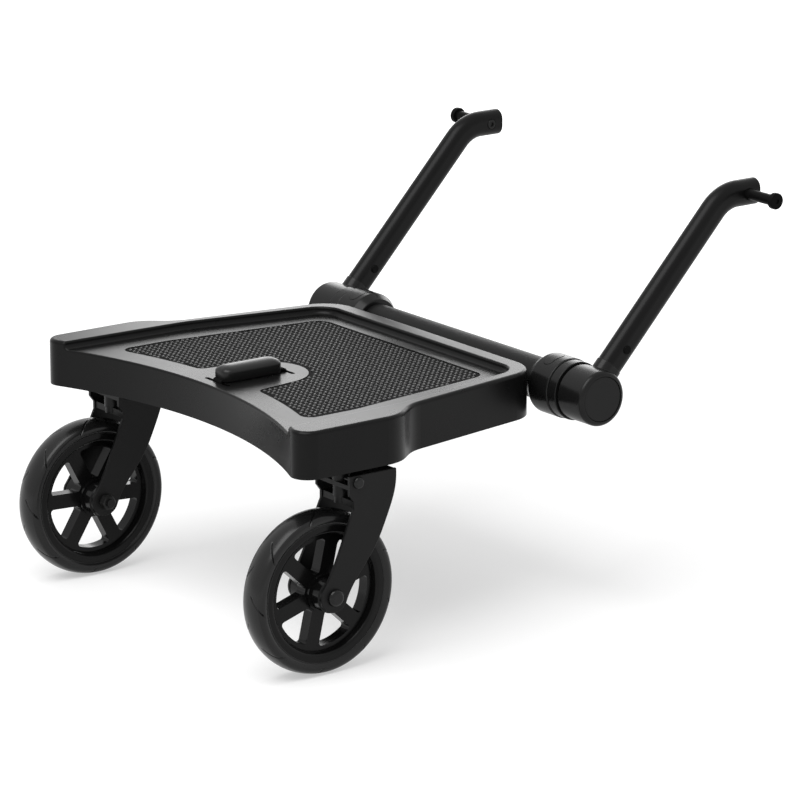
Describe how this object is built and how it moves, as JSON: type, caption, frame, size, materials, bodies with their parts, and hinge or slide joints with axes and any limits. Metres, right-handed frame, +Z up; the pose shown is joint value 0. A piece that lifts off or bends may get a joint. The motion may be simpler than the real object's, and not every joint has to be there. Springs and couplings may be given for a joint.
{
  "type": "pushchair ride-on board",
  "caption": "Ride-on board for the back of a pushchair: rimmed standing deck on swivel casters, with folding side arms ending in plug-in studs.",
  "frame": {"origin": "centre of the footprint on the floor", "axes": "+X across the board to its right, +Y forward to the pushchair, +Z up"},
  "size_m": [0.4848, 0.5674, 0.3851],
  "materials": {
    "board_plastic": "satin black moulded plastic",
    "mat_rubber": "black rubber with raised dots",
    "grip_rubber": "soft black rubber",
    "strap_fabric": "black webbing",
    "coated_tube": "matt black powder coat",
    "coated_steel": "black powder coat",
    "hinge_plastic": "fine-grained black plastic",
    "cap_plastic": "fine-grained dark plastic",
    "rim_plastic": "satin black plastic",
    "tyre_rubber": "black tyre rubber",
    "black_hardware": "blackened steel",
    "bare_steel": "bright steel",
    "bush_plastic": "grey bearing plastic"
  },
  "bodies": {
    "board": {"board": "board_plastic", "grip_mat": "mat_rubber", "cross_tube": "coated_tube", "left_saddle": "board_plastic", "right_saddle": "board_plastic", "cross_bolts": "black_hardware", "cross_washers": "black_hardware", "tube_nuts": "bare_steel", "left_kingpin_bush": "bush_plastic", "right_kingpin_bush": "bush_plastic"},
    "lift_handle": {"handle_grip": "grip_rubber", "handle_strap": "strap_fabric", "strap_stops": "board_plastic"},
    "left_caster": {"left_fork": "coated_steel", "left_kingpin": "black_hardware", "left_kingpin_clip": "bare_steel", "left_cross_rivet": "black_hardware", "left_axle": "black_hardware", "left_axle_nut": "black_hardware", "left_axle_washers": "bare_steel"},
    "left_wheel": {"left_rim": "rim_plastic", "left_tyre": "tyre_rubber", "left_wheel_bearings": "bare_steel"},
    "left_sleeve": {"left_sleeve": "hinge_plastic", "left_lock_ring": "hinge_plastic", "left_guide_tube": "bare_steel", "left_hinge_pin": "bare_steel"},
    "left_button": {"left_sleeve_button": "hinge_plastic"},
    "left_arm": {"left_hinge_drum": "hinge_plastic", "left_end_cap": "cap_plastic", "left_arm": "coated_tube", "left_arm_rivet": "black_hardware", "left_stud": "black_hardware", "left_tip_screw": "black_hardware"},
    "right_caster": {"right_fork": "coated_steel", "right_kingpin": "black_hardware", "right_kingpin_clip": "bare_steel", "right_cross_rivet": "black_hardware", "right_axle": "black_hardware", "right_axle_nut": "black_hardware", "right_axle_washers": "bare_steel"},
    "right_wheel": {"right_rim": "rim_plastic", "right_tyre": "tyre_rubber", "right_wheel_bearings": "bare_steel"},
    "right_sleeve": {"right_sleeve": "hinge_plastic", "right_lock_ring": "hinge_plastic", "right_guide_tube": "bare_steel", "right_hinge_pin": "bare_steel"},
    "right_button": {"right_sleeve_button": "hinge_plastic"},
    "right_arm": {"right_hinge_drum": "hinge_plastic", "right_end_cap": "cap_plastic", "right_arm": "coated_tube", "right_arm_rivet": "black_hardware", "right_stud": "black_hardware", "right_tip_screw": "black_hardware"}
  },
  "joints": [
    {"name": "left_caster_swivel", "type": "hinge", "parent": "board", "child": "left_caster", "pos_m": [-0.184, -0.18345, 0.165], "axis": [0, 0, 1], "continuous": true},
    {"name": "left_wheel_spin", "type": "hinge", "parent": "left_caster", "child": "left_wheel", "pos_m": [-0.184, -0.20875, 0.075], "axis": [1, 0, 0], "continuous": true},
    {"name": "left_width_slide", "type": "slide", "parent": "board", "child": "left_sleeve", "axis": [-1, 0, 0], "range_m": [0, 0.03]},
    {"name": "left_button_press", "type": "slide", "parent": "left_sleeve", "child": "left_button", "axis": [0, 0.2588, -0.9659], "range_m": [0, 0.002], "stiffness_N_per_m": 400, "springref_m": -0.001},
    {"name": "left_arm_tilt", "type": "hinge", "parent": "left_sleeve", "child": "left_arm", "pos_m": [-0.197, 0.08925, 0.2076], "axis": [1, 0, 0], "range_deg": [-50, 110]},
    {"name": "right_caster_swivel", "type": "hinge", "parent": "board", "child": "right_caster", "pos_m": [0.184, -0.18345, 0.165], "axis": [0, 0, 1], "continuous": true},
    {"name": "right_wheel_spin", "type": "hinge", "parent": "right_caster", "child": "right_wheel", "pos_m": [0.184, -0.20875, 0.075], "axis": [1, 0, 0], "continuous": true},
    {"name": "right_width_slide", "type": "slide", "parent": "board", "child": "right_sleeve", "axis": [1, 0, 0], "range_m": [0, 0.03]},
    {"name": "right_button_press", "type": "slide", "parent": "right_sleeve", "child": "right_button", "axis": [0, 0.2588, -0.9659], "range_m": [0, 0.002], "stiffness_N_per_m": 400, "springref_m": -0.001},
    {"name": "right_arm_tilt", "type": "hinge", "parent": "right_sleeve", "child": "right_arm", "pos_m": [0.197, 0.08925, 0.2076], "axis": [1, 0, 0], "range_deg": [-50, 110]},
    {"name": "handle_lift", "type": "slide", "parent": "board", "child": "lift_handle", "axis": [0, 0, 1], "range_m": [0, 0.021]}
  ]
}
